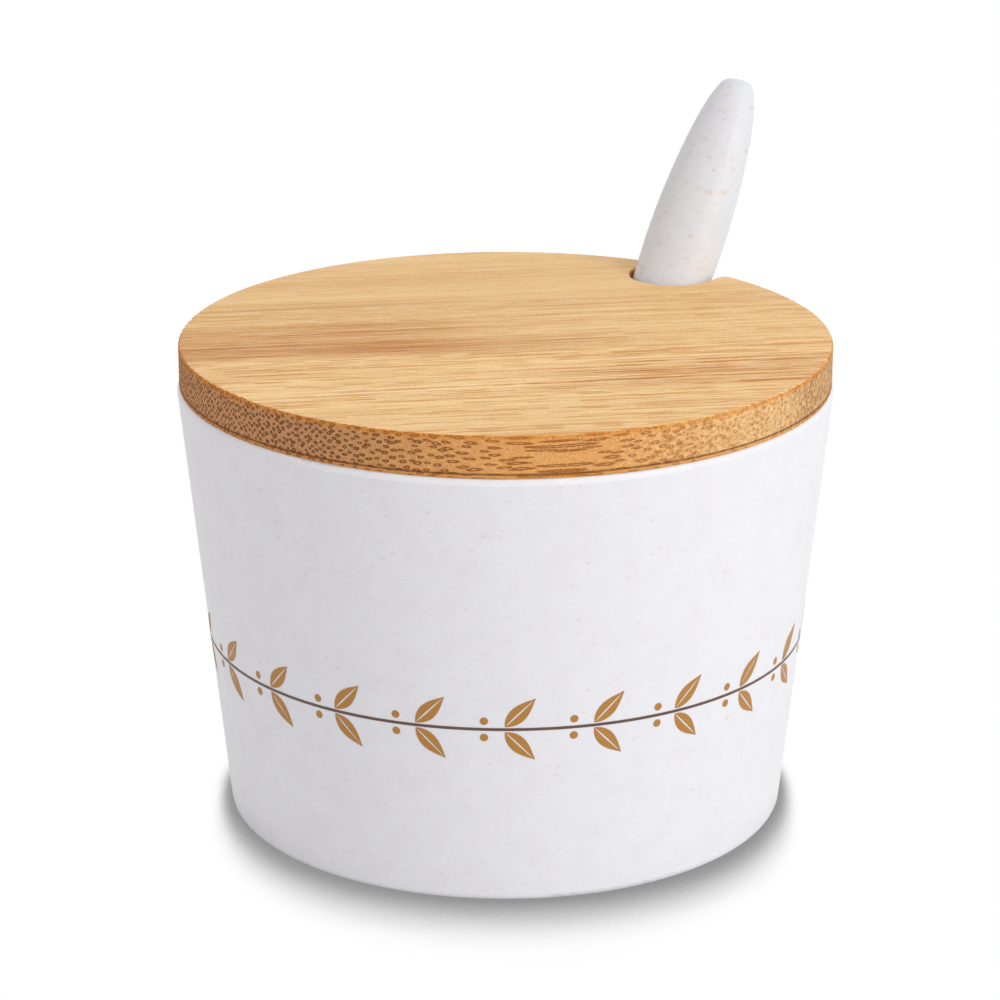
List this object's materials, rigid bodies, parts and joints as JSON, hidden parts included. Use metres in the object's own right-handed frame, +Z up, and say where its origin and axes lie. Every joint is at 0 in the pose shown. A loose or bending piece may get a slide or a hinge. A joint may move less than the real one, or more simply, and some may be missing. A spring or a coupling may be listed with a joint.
{
  "type": "honey dish",
  "caption": "Tapered pale bowl with a lift-off lid glued up from wooden strips, notched at the back for a matching spoon whose handle leans out.",
  "frame": {"origin": "middle of the bowl's foot, on the surface that it stands on", "axes": "+Z up along the bowl's axis, +Y towards the spoon slot at the back of the lid, so that the YZ plane is the spoon's plane of symmetry"},
  "size_m": [0.1006, 0.1152, 0.1039],
  "materials": {
    "bowl_body": "satin",
    "spoon_body": "satin",
    "lid_wood": "satin",
    "print_stem": "satin",
    "print_leaf": "satin"
  },
  "bodies": {
    "bowl": {"bowl": "bowl_body"},
    "lid": {"lid_top_strip_1": "lid_wood", "lid_top_strip_2": "lid_wood", "lid_top_strip_3": "lid_wood", "lid_top_strip_4": "lid_wood", "lid_base_strip_1": "lid_wood", "lid_base_strip_2": "lid_wood", "lid_base_strip_3": "lid_wood", "lid_base_strip_4": "lid_wood"},
    "spoon": {"spoon": "spoon_body"}
  },
  "joints": [
    {"name": "lid_lift", "type": "slide", "parent": "bowl", "child": "lid", "axis": [0, 0, 1], "range_m": [0, 0.07]},
    {"name": "spoon_lift", "type": "slide", "parent": "bowl", "child": "spoon", "axis": [0, 0.5358, 0.8443], "range_m": [0, 0.028]}
  ]
}
